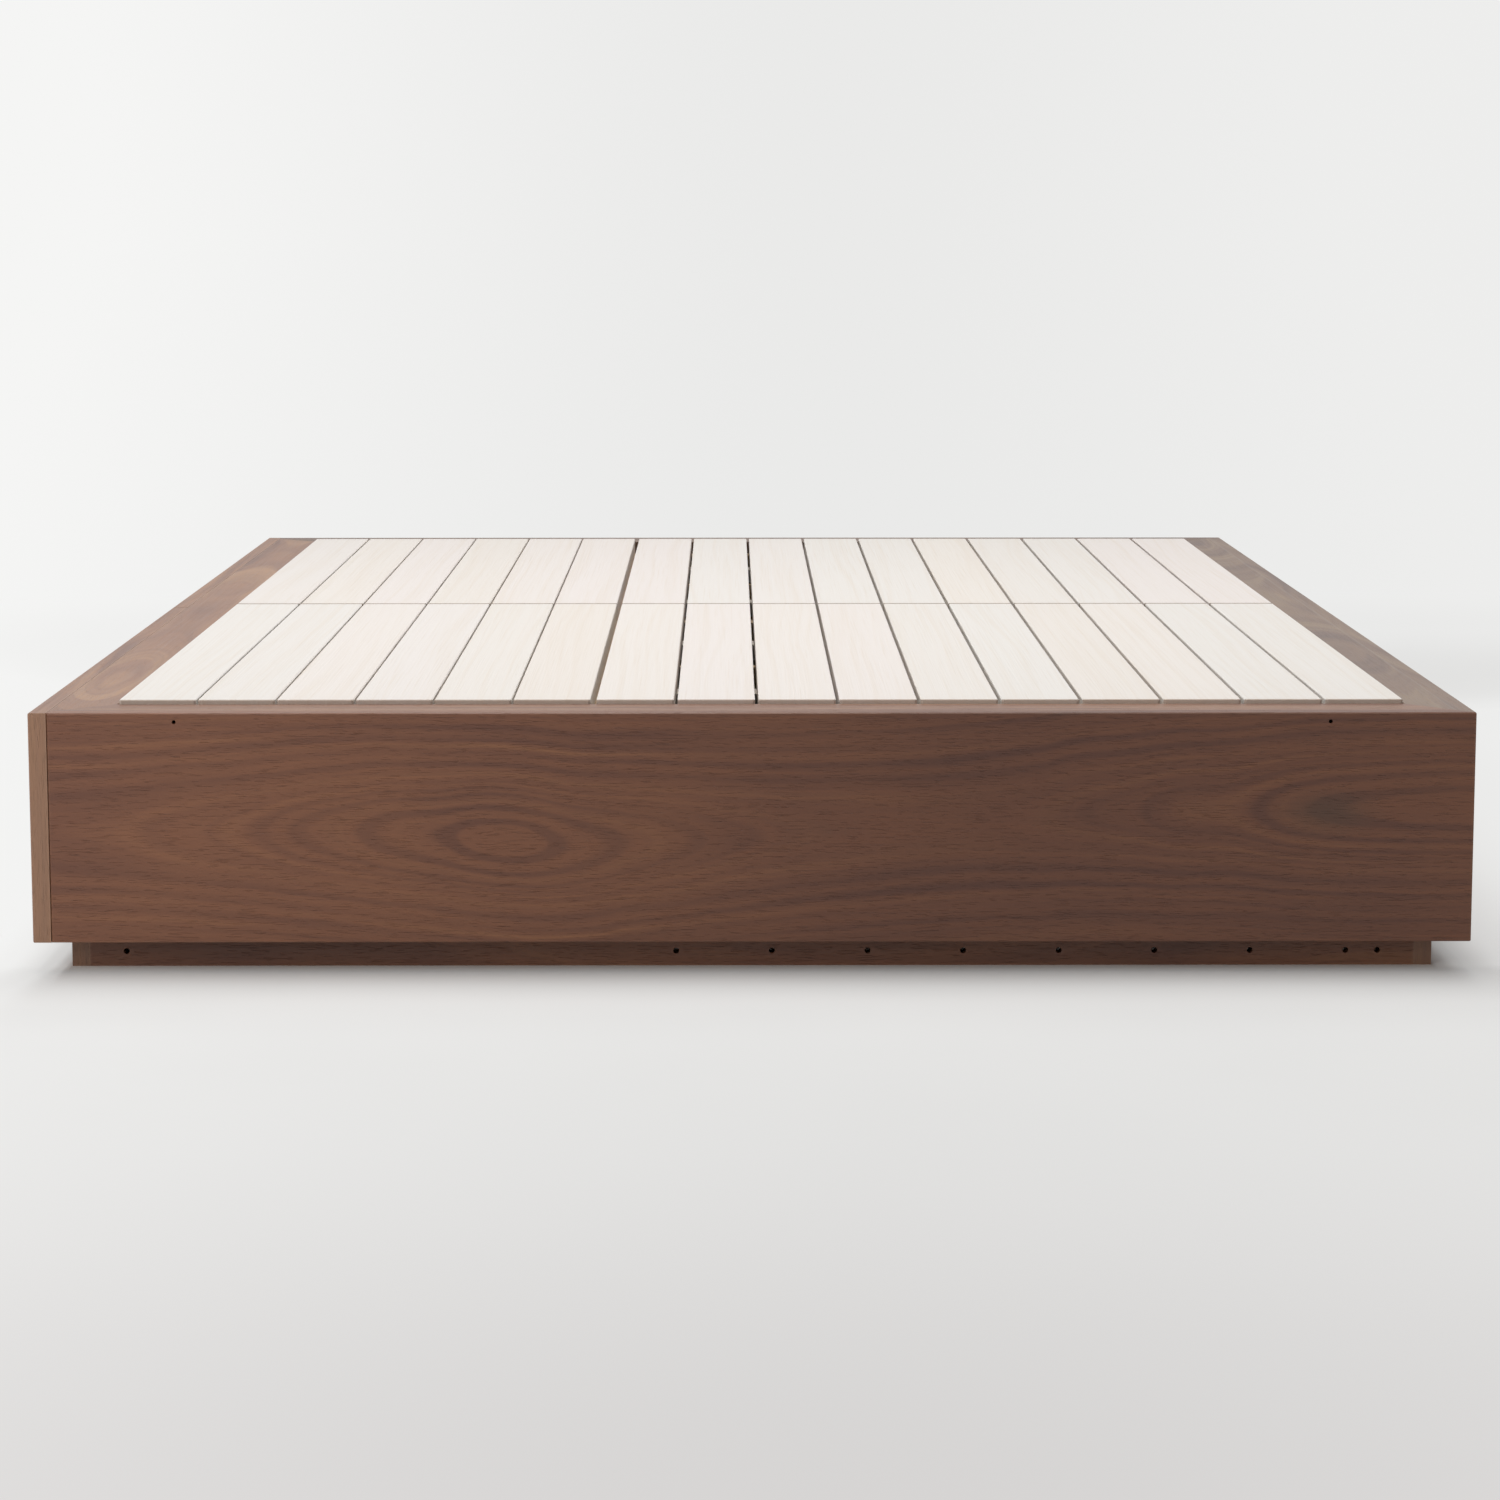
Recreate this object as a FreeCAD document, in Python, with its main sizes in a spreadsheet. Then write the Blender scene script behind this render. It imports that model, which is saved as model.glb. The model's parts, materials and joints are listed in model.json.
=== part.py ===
import FreeCAD, Part
import math
import os
import re
import Sketcher

# Low double bed: a veneered frame on a set-back plinth, two drawers along its left side
# and a deck of four slat units that lie loose in the frame and lift out.
# X runs across the bed, Y from the head end to the foot end and Z up from the floor.
# The origin is on the floor under the middle of the bed. All sizes are millimetres.

SIZES = (
    # Overall frame
    ("bed_width", 1430, "over the drawer fronts and the right side panel"),
    ("bed_length", 2030, "over the two end panels"),
    ("panel_height", 230, "end panels, side panel and drawer fronts"),
    ("panel_thickness", 18, "end panels and side panel"),
    ("edge_ease", 1, "chamfer along the outer edges of panels and fronts"),
    # Plinth and base
    ("plinth_height", 30, "floor to the underside of the panels"),
    ("plinth_setback", 33, "plinth face behind the panel faces"),
    ("plinth_thickness", 18, "plinth boards"),
    ("base_rail_width", 70, "boards that lie on the plinth"),
    ("base_rail_thickness", 18, "boards that lie on the plinth"),
    ("finger_room", 20, "left base rail behind the carcass edge, for fingers"),
    # Top border
    ("rail_thickness", 18, "boards of the top border"),
    ("end_border", 68, "end panel face to the deck opening"),
    ("side_border", 60, "carcass side to the deck opening"),
    # Holes in the head end
    ("headboard_hole_diameter", 4, "pilot holes for a headboard"),
    ("headboard_hole_inset", 144, "pilot holes inside the outer faces of the bed"),
    ("headboard_hole_depth", 30, "into the head rail behind the panel"),
    ("plinth_hole_diameter", 6, "round holes in the head plinth"),
    ("plinth_hole_inset", 87.5, "fixing holes inside the outer faces of the bed"),
    ("air_hole_offset", 32, "right fixing hole to the first air hole"),
    ("air_hole_pitch", 96, "between air holes"),
    ("air_hole_count", 8, "air holes in the head plinth"),
    # Inner boards
    ("drawer_bay", 528, "carcass left edge to the centre divider"),
    ("divider_thickness", 18, "centre divider"),
    ("partition_thickness", 36, "drawer partition and middle bearer"),
    ("bearer_thickness", 18, "cross bearers at the quarter lengths"),
    ("right_bearer_depth", 60, "cross bearers over the long storage"),
    ("left_bearer_depth", 36, "cross bearers over the drawers"),
    ("ledger_width", 50, "battens that carry the slat ends"),
    ("ledger_height", 22, "battens that carry the slat ends"),
    ("ledger_lap", 20, "part of the ledger under the end rail"),
    ("corner_post", 40, "square posts in the two right corners"),
    ("bracket_leg", 40, "each leg of a bearer bracket"),
    ("bracket_height", 28, "bearer brackets"),
    ("bracket_thickness", 2.5, "bearer brackets"),
    ("bracket_drop", 4, "bracket below the rail underside"),
    # Slat units
    ("slat_thickness", 22, "slats"),
    ("slat_corner", 2, "chamfer of the slat corners seen from above"),
    ("slat_ease", 0.8, "chamfer along the top edges of the slats"),
    ("left_slat_count", 6, "slats side by side over the drawers"),
    ("right_slat_count", 10, "slats side by side over the long storage"),
    ("left_slat_gap", 2, "between slats over the drawers"),
    ("right_slat_gap", 3.6, "between slats over the long storage"),
    ("unit_gap", 6.2, "between left and right slat units"),
    ("row_gap", 6, "between head and foot slat units"),
    ("side_clearance", 1, "slat unit to side rail"),
    ("end_clearance", 2, "slat ends to end rail"),
    ("seat_clearance", 0.3, "slats above the boards that carry them"),
    ("batten_width", 45, "battens under the slats"),
    ("batten_thickness", 18, "battens under the slats"),
    ("batten_inset", 10, "batten ends inside the slat unit"),
    ("batten_spacing", 460, "between the two battens of a unit"),
    # Drawers
    ("front_thickness", 18, "drawer fronts"),
    ("front_gap", 0.4, "drawer front to carcass"),
    ("front_joint", 3, "between the two drawer fronts"),
    ("pull_bevel", 8, "lower back edge of a drawer front, for fingers"),
    ("pull_end_inset", 60, "finger bevel stops inside the ends of the drawer front"),
    ("drawer_board", 15, "drawer sides, back and inner front"),
    ("drawer_back_gap", 29, "drawer box to the centre divider"),
    ("drawer_head_gap", 6, "drawer box below the quarter bearers"),
    ("drawer_rise", 6, "drawer box above the base rails"),
    ("drawer_side_gap", 4, "drawer side to the board beside it"),
    ("drawer_bottom_thickness", 6, "drawer bottom"),
    ("drawer_bottom_rise", 8, "drawer bottom above the lower edge of the sides"),
    ("groove_depth", 6, "grooves for the drawer bottom"),
    ("groove_clearance", 0.2, "drawer bottom in its grooves"),
    ("runner_height", 16, "hardwood runners"),
    ("runner_rise", 68, "runner above the lower edge of the drawer sides"),
    ("runner_reach", 6, "runner inside the groove of the drawer side"),
    ("runner_inset", 4, "runner behind the inner front"),
    ("runner_back_gap", 16, "runner end in front of the drawer box end"),
    ("runner_clearance", 0.3, "runner in its groove"),
    ("screw_diameter", 4, "screws that hold the drawer fronts"),
    ("screw_bite", 12, "screw depth in the drawer front"),
    ("screw_clearance", 0.1, "around the screw shank"),
    ("screw_head_diameter", 9, "screw heads"),
    ("screw_head_height", 2.5, "screw heads"),
    ("screw_end_inset", 135.5, "screws inside the ends of the drawer box"),
    ("screw_edge_inset", 33, "screws inside the upper and lower edges of the drawer box"),
)

# Places that many boards share, as formulas on the sizes above.
HALF_WIDTH = "(bed_width / 2)"
HALF_LENGTH = "(bed_length / 2)"
FRAME_TOP = "(plinth_height + panel_height)"
RAIL_UNDERSIDE = f"({FRAME_TOP} - rail_thickness)"
BASE_TOP = "(plinth_height + base_rail_thickness)"
CARCASS_LEFT = "(front_thickness + front_gap - bed_width / 2)"
PANEL_INNER_X = "(bed_width / 2 - panel_thickness)"
PANEL_INNER_Y = "(bed_length / 2 - panel_thickness)"
OPENING_LEFT = f"({CARCASS_LEFT} + side_border)"
OPENING_RIGHT = "(bed_width / 2 - side_border)"
OPENING_END = "(bed_length / 2 - end_border)"
PLINTH_X = "(bed_width / 2 - plinth_setback)"
PLINTH_Y = "(bed_length / 2 - plinth_setback)"
BASE_INNER_X = f"({PANEL_INNER_X} - base_rail_width)"
BASE_INNER_Y = f"({PANEL_INNER_Y} - base_rail_width)"
BASE_INNER_LEFT = f"({CARCASS_LEFT} + base_rail_width)"
DIVIDER_LEFT = f"({CARCASS_LEFT} + drawer_bay)"
DIVIDER_RIGHT = f"({DIVIDER_LEFT} + divider_thickness)"
DIVIDER_MIDDLE = f"({DIVIDER_LEFT} + divider_thickness / 2)"
LEDGER_OUTER = f"({OPENING_END} + ledger_lap)"
LEDGER_INNER = f"({LEDGER_OUTER} - ledger_width)"
LEDGER_BOTTOM = f"({RAIL_UNDERSIDE} - ledger_height)"
SLAT_SEAT = f"({RAIL_UNDERSIDE} + seat_clearance)"
SLAT_END = f"({OPENING_END} - end_clearance)"
UNIT_MIDDLE = f"(({SLAT_END} + row_gap / 2) / 2)"
FRONT_FACE = "(-bed_width / 2)"
FRONT_BACK = "(front_thickness - bed_width / 2)"
INNER_FRONT_BACK = f"({FRONT_BACK} + drawer_board)"
DRAWER_REAR = f"({DIVIDER_LEFT} - drawer_back_gap)"
DRAWER_BOTTOM = f"({BASE_TOP} + drawer_rise)"
DRAWER_TOP = f"({RAIL_UNDERSIDE} - left_bearer_depth - drawer_head_gap)"
DRAWER_OUTER = f"({PANEL_INNER_Y} - drawer_side_gap)"
DRAWER_INNER = "(partition_thickness / 2 + drawer_side_gap)"
GROOVE_BOTTOM = f"({DRAWER_BOTTOM} + drawer_bottom_rise)"
GROOVE_TOP = f"({GROOVE_BOTTOM} + drawer_bottom_thickness + 2 * groove_clearance)"
RUNNER_BOTTOM = f"({DRAWER_BOTTOM} + runner_rise)"
RUNNER_TOP = f"({RUNNER_BOTTOM} + runner_height)"
RUNNER_FRONT = f"({INNER_FRONT_BACK} + runner_inset)"
RUNNER_LENGTH = f"({DRAWER_REAR} - runner_back_gap - {RUNNER_FRONT})"
SCREW_LOW = f"({DRAWER_BOTTOM} + screw_edge_inset)"
SCREW_HIGH = f"({DRAWER_TOP} - screw_edge_inset)"
SCREW_NEAR = f"({DRAWER_INNER} + screw_end_inset)"
SCREW_FAR = f"({DRAWER_OUTER} - screw_end_inset)"

HEAD, FOOT = -1, 1
END_NAMES = {HEAD: "head", FOOT: "foot"}

doc = FreeCAD.newDocument("double_bed")
pieces = []


def write_sizes():
    sheet = doc.addObject("Spreadsheet::Sheet", "Sizes")
    for row, (alias, value, note) in enumerate(SIZES, start=1):
        sheet.set(f"A{row}", alias)
        sheet.set(f"B{row}", str(value))
        sheet.set(f"C{row}", note)
        sheet.setAlias(f"B{row}", alias)
    doc.recompute()


def bind(thing, target, formula):
    """Tie a property to the sheet: each lower-case word of the formula is a size."""
    thing.setExpression(target, re.sub(r"[a-z_]+", r"Sizes.\g<0>", formula))


def new_piece(label):
    body = doc.addObject("PartDesign::Body", label)
    body.Label = label
    pieces.append(body)
    return body


def origin_item(body, role):
    return [item for item in body.Origin.OriginFeatures if item.Role == role][0]


def new_sketch(body, plane, height):
    """A sketch parallel to an origin plane, at a place along the axis square to that plane."""
    sketch = body.newObject("Sketcher::SketchObject", body.Label + "_outline")
    sketch.AttachmentSupport = [(origin_item(body, plane), "")]
    sketch.MapMode = "FlatFace"
    normal_sign = "-1 * " if plane == "XZ_Plane" else ""
    bind(sketch, "AttachmentOffset.Base.z", f"{normal_sign}({height})")
    return sketch


def bind_point(sketch, item, point, across, up):
    for kind, formula in (("DistanceX", across), ("DistanceY", up)):
        index = sketch.addConstraint(Sketcher.Constraint(kind, -1, 1, item, point, 1.0))
        bind(sketch, f"Constraints[{index}]", formula)


def draw_outline(sketch, corners):
    """Closed outline of straight lines, each corner bound to two formulas."""
    first = sketch.GeometryCount
    count = len(corners)
    turns = [2 * math.pi * index / count for index in range(count + 1)]
    spots = [FreeCAD.Vector(math.cos(turn), math.sin(turn), 0) for turn in turns]
    for index in range(count):
        sketch.addGeometry(Part.LineSegment(spots[index], spots[index + 1]))
    for index, (across, up) in enumerate(corners):
        follower = first + (index + 1) % count
        sketch.addConstraint(Sketcher.Constraint("Coincident", first + index, 2, follower, 1))
        bind_point(sketch, first + index, 1, across, up)


def draw_circle(sketch, across, up, diameter):
    circle = Part.Circle(FreeCAD.Vector(1, 1, 0), FreeCAD.Vector(0, 0, 1), 1)
    item = sketch.addGeometry(circle)
    bind_point(sketch, item, 3, across, up)
    index = sketch.addConstraint(Sketcher.Constraint("Diameter", item, 1.0))
    bind(sketch, f"Constraints[{index}]", diameter)


def rectangle(low_across, low_up, high_across, high_up):
    return (
        (low_across, low_up),
        (high_across, low_up),
        (high_across, high_up),
        (low_across, high_up),
    )


def pad_outline(body, plane, corners, height, thickness):
    """Board of one outline, from a height along the plane's axis, thick along plus X, Y or Z."""
    sketch = new_sketch(body, plane, height)
    draw_outline(sketch, corners)
    pad = body.newObject("PartDesign::Pad", body.Label + "_board")
    pad.Profile = sketch
    pad.Reversed = plane == "XZ_Plane"
    bind(pad, "Length", thickness)
    doc.recompute()
    return pad


def board(label, plane, corners, height, thickness):
    body = new_piece(label)
    pad_outline(body, plane, corners, height, thickness)
    return body


def drill(body, plane, height, spots, diameter, depth):
    """Round holes cut from a plane, against its normal."""
    volume_before = body.Shape.Volume
    sketch = new_sketch(body, plane, height)
    for across, up in spots:
        draw_circle(sketch, across, up, diameter)
    pocket = body.newObject("PartDesign::Pocket", body.Label + "_holes")
    pocket.Profile = sketch
    bind(pocket, "Length", depth)
    doc.recompute()
    if body.Shape.Volume >= volume_before:
        raise RuntimeError(f"{body.Label}: the holes cut nothing")
    return pocket


def edges_on(shape, **places):
    """Names of the straight edges that lie on every given plane, such as y=12 and z=0."""
    names = []
    for index, edge in enumerate(shape.Edges, start=1):
        ends = [vertex.Point for vertex in edge.Vertexes]
        if all(abs(getattr(end, axis) - at) < 1e-4 for end in ends for axis, at in places.items()):
            names.append(f"Edge{index}")
    return names


def dress(body, kind, edges, radius):
    """Fillet or chamfer on edges of the body's last feature."""
    feature = body.newObject(f"PartDesign::{kind}", f"{body.Label}_{kind.lower()}")
    feature.Base = (body.Group[-2], edges)
    bind(feature, "Size" if kind == "Chamfer" else "Radius", radius)
    doc.recompute()
    return feature


def repeat(body, axis, extent, count):
    """Copies of the whole piece in a row along an origin axis."""
    row = body.newObject("PartDesign::LinearPattern", body.Label + "_row_" + axis[0].lower())
    row.TransformMode = "Whole shape"
    row.Direction = (origin_item(body, axis), [""])
    row.Mode = "Extent"
    bind(row, "Length", extent)
    bind(row, "Occurrences", count)
    body.Tip = row
    doc.recompute()
    return row


def ordered(side, near, far):
    """Two places along Y, lower first, for formulas that grow away from the middle."""
    places = (f"{side} * {near}", f"{side} * {far}")
    return places if side == FOOT else places[::-1]


# Panels and top border

def end_panel(side):
    """Panel across one end, square at the drawers and mitred to the side panel."""
    outer, inner = f"{side} * {HALF_LENGTH}", f"{side} * {PANEL_INNER_Y}"
    corners = (
        (CARCASS_LEFT, outer),
        (HALF_WIDTH, outer),
        (PANEL_INNER_X, inner),
        (CARCASS_LEFT, inner),
    )
    body = board(f"{END_NAMES[side]}_panel", "XY_Plane", corners, "plinth_height", "panel_height")
    box = body.Shape.BoundBox
    face = box.YMin if side == HEAD else box.YMax
    eased = [
        *edges_on(body.Shape, y=face, z=box.ZMin),
        *edges_on(body.Shape, y=face, z=box.ZMax),
        *edges_on(body.Shape, y=face, x=box.XMin),
    ]
    dress(body, "Chamfer", eased, "edge_ease")
    return body


def side_panel():
    corners = (
        (HALF_WIDTH, f"-{HALF_LENGTH}"),
        (HALF_WIDTH, HALF_LENGTH),
        (PANEL_INNER_X, PANEL_INNER_Y),
        (PANEL_INNER_X, f"-{PANEL_INNER_Y}"),
    )
    body = board("right_side_panel", "XY_Plane", corners, "plinth_height", "panel_height")
    box = body.Shape.BoundBox
    eased = [
        *edges_on(body.Shape, x=box.XMax, z=box.ZMin),
        *edges_on(body.Shape, x=box.XMax, z=box.ZMax),
    ]
    dress(body, "Chamfer", eased, "edge_ease")


def end_rail(side):
    """Top border board behind an end panel, mitred at both ends."""
    outer, inner = f"{side} * {PANEL_INNER_Y}", f"{side} * {OPENING_END}"
    corners = (
        (CARCASS_LEFT, outer),
        (PANEL_INNER_X, outer),
        (OPENING_RIGHT, inner),
        (OPENING_LEFT, inner),
    )
    label = f"{END_NAMES[side]}_top_rail"
    body = board(label, "XY_Plane", corners, RAIL_UNDERSIDE, "rail_thickness")
    box = body.Shape.BoundBox
    opening = box.YMax if side == HEAD else box.YMin
    dress(body, "Chamfer", edges_on(body.Shape, y=opening, z=box.ZMax), "edge_ease")
    return body


def side_rail(label, outer, inner):
    """Top border board along one side, mitred at both ends."""
    corners = (
        (outer, f"-{PANEL_INNER_Y}"),
        (inner, f"-{OPENING_END}"),
        (inner, OPENING_END),
        (outer, PANEL_INNER_Y),
    )
    body = board(label, "XY_Plane", corners, RAIL_UNDERSIDE, "rail_thickness")
    box = body.Shape.BoundBox
    opening = box.XMax if label.startswith("left") else box.XMin
    dress(body, "Chamfer", edges_on(body.Shape, x=opening, z=box.ZMax), "edge_ease")


def headboard_holes(panel, rail):
    """Two pilot holes through the head panel into the edge of the rail behind it."""
    height = f"{FRAME_TOP} - rail_thickness / 2"
    across = f"({HALF_WIDTH} - headboard_hole_inset)"
    spots = [(f"-{across}", height), (across, height)]
    size = "headboard_hole_diameter"
    drill(panel, "XZ_Plane", f"-{HALF_LENGTH}", spots, size, "panel_thickness")
    drill(rail, "XZ_Plane", f"-{PANEL_INNER_Y}", spots, size, "headboard_hole_depth")


# Base

def base_rails():
    for side in (HEAD, FOOT):
        low, high = ordered(side, BASE_INNER_Y, PANEL_INNER_Y)
        corners = rectangle(CARCASS_LEFT, low, PANEL_INNER_X, high)
        label = f"{END_NAMES[side]}_base_rail"
        board(label, "XY_Plane", corners, "plinth_height", "base_rail_thickness")
    sides = (
        ("left_base_rail", f"{CARCASS_LEFT} + finger_room", BASE_INNER_LEFT),
        ("right_base_rail", BASE_INNER_X, PANEL_INNER_X),
    )
    for label, low, high in sides:
        corners = rectangle(low, f"-{BASE_INNER_Y}", high, BASE_INNER_Y)
        board(label, "XY_Plane", corners, "plinth_height", "base_rail_thickness")


def plinth():
    """Side boards run through, end boards stand between them."""
    inner_x = f"({PLINTH_X} - plinth_thickness)"
    inner_y = f"({PLINTH_Y} - plinth_thickness)"
    for label, low, high in (
        ("left_plinth", f"-{PLINTH_X}", f"-{inner_x}"),
        ("right_plinth", inner_x, PLINTH_X),
    ):
        corners = rectangle(low, f"-{PLINTH_Y}", high, PLINTH_Y)
        board(label, "XY_Plane", corners, "0", "plinth_height")
    for side in (HEAD, FOOT):
        low, high = ordered(side, inner_y, PLINTH_Y)
        corners = rectangle(f"-{inner_x}", low, inner_x, high)
        body = board(f"{END_NAMES[side]}_plinth", "XY_Plane", corners, "0", "plinth_height")
        if side == HEAD:
            plinth_holes(body)


def plinth_holes(body):
    """A fixing hole near each end, and a row of air holes in front of the long storage."""
    right = f"({HALF_WIDTH} - plinth_hole_inset)"
    height = "plinth_height / 2"
    size = "plinth_hole_diameter"
    face = f"-{PLINTH_Y}"
    fixings = [(f"-{right}", height), (right, height)]
    drill(body, "XZ_Plane", face, fixings, size, "plinth_thickness")
    first = [(f"{right} - air_hole_offset", height)]
    hole = drill(body, "XZ_Plane", face, first, size, "plinth_thickness")
    volume_before = body.Shape.Volume
    row = body.newObject("PartDesign::LinearPattern", "air_hole_row")
    row.Originals = [hole]
    row.Direction = (origin_item(body, "X_Axis"), [""])
    row.Reversed = True
    row.Mode = "Extent"
    bind(row, "Length", "air_hole_pitch * (air_hole_count - 1)")
    bind(row, "Occurrences", "air_hole_count")
    body.Tip = row
    doc.recompute()
    if body.Shape.Volume >= volume_before:
        raise RuntimeError("the air holes cut nothing")


# Inner boards

def centre_divider():
    """Board along the bed, notched over the base rails and under the ledgers."""
    corners = (
        (f"-{PANEL_INNER_Y}", BASE_TOP),
        (f"-{BASE_INNER_Y}", BASE_TOP),
        (f"-{BASE_INNER_Y}", "0"),
        (BASE_INNER_Y, "0"),
        (BASE_INNER_Y, BASE_TOP),
        (PANEL_INNER_Y, BASE_TOP),
        (PANEL_INNER_Y, LEDGER_BOTTOM),
        (LEDGER_INNER, LEDGER_BOTTOM),
        (LEDGER_INNER, RAIL_UNDERSIDE),
        (f"-{LEDGER_INNER}", RAIL_UNDERSIDE),
        (f"-{LEDGER_INNER}", LEDGER_BOTTOM),
        (f"-{PANEL_INNER_Y}", LEDGER_BOTTOM),
    )
    board("centre_divider", "YZ_Plane", corners, DIVIDER_LEFT, "divider_thickness")


def cross_board(label, outer, notch, divider):
    """Board across one half of the bed at mid-length, notched over its side base rail."""
    corners = (
        (outer, BASE_TOP),
        (notch, BASE_TOP),
        (notch, "0"),
        (divider, "0"),
        (divider, RAIL_UNDERSIDE),
        (outer, RAIL_UNDERSIDE),
    )
    board(label, "XZ_Plane", corners, "-partition_thickness / 2", "partition_thickness")


def quarter_bearers(side):
    """Shallow bearers under the middle of the slats, one each side of the divider."""
    start = f"{side} * {UNIT_MIDDLE} - bearer_thickness / 2"
    end = END_NAMES[side]
    for label, low, high, depth in (
        (f"{end}_left_bearer", CARCASS_LEFT, DIVIDER_LEFT, "left_bearer_depth"),
        (f"{end}_right_bearer", DIVIDER_RIGHT, PANEL_INNER_X, "right_bearer_depth"),
    ):
        corners = rectangle(low, f"{RAIL_UNDERSIDE} - {depth}", high, RAIL_UNDERSIDE)
        board(label, "XZ_Plane", corners, start, "bearer_thickness")


def ledger(side):
    low, high = ordered(side, LEDGER_INNER, LEDGER_OUTER)
    corners = rectangle(CARCASS_LEFT, low, PANEL_INNER_X, high)
    board(f"{END_NAMES[side]}_ledger", "XY_Plane", corners, LEDGER_BOTTOM, "ledger_height")


def corner_post(side):
    """Post that ties an end panel to the side panel, from the base rail up to the ledger."""
    low, high = ordered(side, f"({PANEL_INNER_Y} - corner_post)", PANEL_INNER_Y)
    corners = rectangle(f"{PANEL_INNER_X} - corner_post", low, PANEL_INNER_X, high)
    height = f"{LEDGER_BOTTOM} - {BASE_TOP}"
    board(f"{END_NAMES[side]}_corner_post", "XY_Plane", corners, BASE_TOP, height)


def bearer_brackets():
    """Steel angles between the quarter bearers and the boards that they meet."""
    body = new_piece("bearer_brackets")
    face = f"({UNIT_MIDDLE} - bearer_thickness / 2)"
    seats = ((DIVIDER_LEFT, -1), (DIVIDER_RIGHT, 1), (PANEL_INNER_X, -1))
    base = f"{RAIL_UNDERSIDE} - bracket_drop - bracket_height"
    sketch = new_sketch(body, "XY_Plane", base)
    for seat, away in seats:
        thin = f"{seat} + {away} * bracket_thickness"
        tip = f"{seat} + {away} * bracket_leg"
        corners = (
            (seat, face),
            (tip, face),
            (tip, f"{face} - bracket_thickness"),
            (thin, f"{face} - bracket_thickness"),
            (thin, f"{face} - bracket_leg"),
            (seat, f"{face} - bracket_leg"),
        )
        draw_outline(sketch, corners)
    pad = body.newObject("PartDesign::Pad", "bracket_angles")
    pad.Profile = sketch
    bind(pad, "Length", "bracket_height")
    doc.recompute()
    mirrored = body.newObject("PartDesign::Mirrored", "bracket_pair")
    mirrored.TransformMode = "Whole shape"
    mirrored.MirrorPlane = (origin_item(body, "XZ_Plane"), [""])
    body.Tip = mirrored
    doc.recompute()


# Slat units

def slat_unit(side, half, low, high, count, gap):
    """Slats side by side along the bed, tied from below by two battens."""
    end = END_NAMES[side]
    width = f"(({high} - {low} - ({count} - 1) * {gap}) / {count})"
    near, far = ordered(side, "(row_gap / 2)", SLAT_END)
    corners = rectangle(low, near, f"{low} + {width}", far)
    slats = board(f"{end}_{half}_slats", "XY_Plane", corners, SLAT_SEAT, "slat_thickness")
    box = slats.Shape.BoundBox
    upright = [
        name
        for x in (box.XMin, box.XMax)
        for y in (box.YMin, box.YMax)
        for name in edges_on(slats.Shape, x=x, y=y)
    ]
    cut = dress(slats, "Chamfer", upright, "slat_corner")
    dress(slats, "Chamfer", edges_on(cut.Shape, z=box.ZMax), "slat_ease")
    repeat(slats, "X_Axis", f"{high} - {low} - {width}", count)

    start = f"{side} * {UNIT_MIDDLE} - batten_spacing / 2 - batten_width / 2"
    corners = rectangle(
        f"{low} + batten_inset", start, f"{high} - batten_inset", f"{start} + batten_width"
    )
    base = f"{SLAT_SEAT} - batten_thickness"
    battens = board(f"{end}_{half}_battens", "XY_Plane", corners, base, "batten_thickness")
    repeat(battens, "Y_Axis", "batten_spacing", "2")


# Drawers

def finger_bevel(body, low, high):
    """Bevel on the lower back edge of a drawer front, stopped short of both ends."""
    volume_before = body.Shape.Volume
    sketch = new_sketch(body, "XZ_Plane", f"{low} + pull_end_inset")
    corners = (
        (FRONT_BACK, "plinth_height"),
        (FRONT_BACK, "plinth_height + pull_bevel"),
        (f"{FRONT_BACK} - pull_bevel", "plinth_height"),
    )
    draw_outline(sketch, corners)
    pocket = body.newObject("PartDesign::Pocket", body.Label + "_finger_bevel")
    pocket.Profile = sketch
    bind(pocket, "Length", f"{high} - ({low}) - 2 * pull_end_inset")
    doc.recompute()
    if body.Shape.Volume >= volume_before:
        raise RuntimeError(f"{body.Label}: the finger bevel cut nothing")


def drawer_front(side):
    low, high = ordered(side, "(front_joint / 2)", HALF_LENGTH)
    corners = rectangle(low, "plinth_height", high, FRAME_TOP)
    label = f"{END_NAMES[side]}_drawer_front"
    body = board(label, "YZ_Plane", corners, FRONT_FACE, "front_thickness")
    box = body.Shape.BoundBox
    eased = [
        *edges_on(body.Shape, x=box.XMin, z=box.ZMin),
        *edges_on(body.Shape, x=box.XMin, z=box.ZMax),
        *edges_on(body.Shape, x=box.XMin, y=box.YMin),
        *edges_on(body.Shape, x=box.XMin, y=box.YMax),
    ]
    dress(body, "Chamfer", eased, "edge_ease")
    finger_bevel(body, low, high)
    screw_holes(body, side, FRONT_BACK, "screw_bite")


def inner_front(side):
    """Front board of the drawer box, grooved for the drawer bottom."""
    low, _ = ordered(side, DRAWER_INNER, DRAWER_OUTER)
    groove = f"{INNER_FRONT_BACK} - groove_depth"
    corners = (
        (FRONT_BACK, DRAWER_BOTTOM),
        (INNER_FRONT_BACK, DRAWER_BOTTOM),
        (INNER_FRONT_BACK, GROOVE_BOTTOM),
        (groove, GROOVE_BOTTOM),
        (groove, GROOVE_TOP),
        (INNER_FRONT_BACK, GROOVE_TOP),
        (INNER_FRONT_BACK, DRAWER_TOP),
        (FRONT_BACK, DRAWER_TOP),
    )
    label = f"{END_NAMES[side]}_drawer_inner_front"
    body = board(label, "XZ_Plane", corners, low, f"{DRAWER_OUTER} - {DRAWER_INNER}")
    screw_holes(body, side, INNER_FRONT_BACK, "drawer_board")


def screw_holes(body, side, face, depth):
    spots = [
        (f"{side} * {across}", up) for across in (SCREW_NEAR, SCREW_FAR) for up in (SCREW_LOW, SCREW_HIGH)
    ]
    drill(body, "YZ_Plane", face, spots, "screw_diameter + 2 * screw_clearance", depth)


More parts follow.
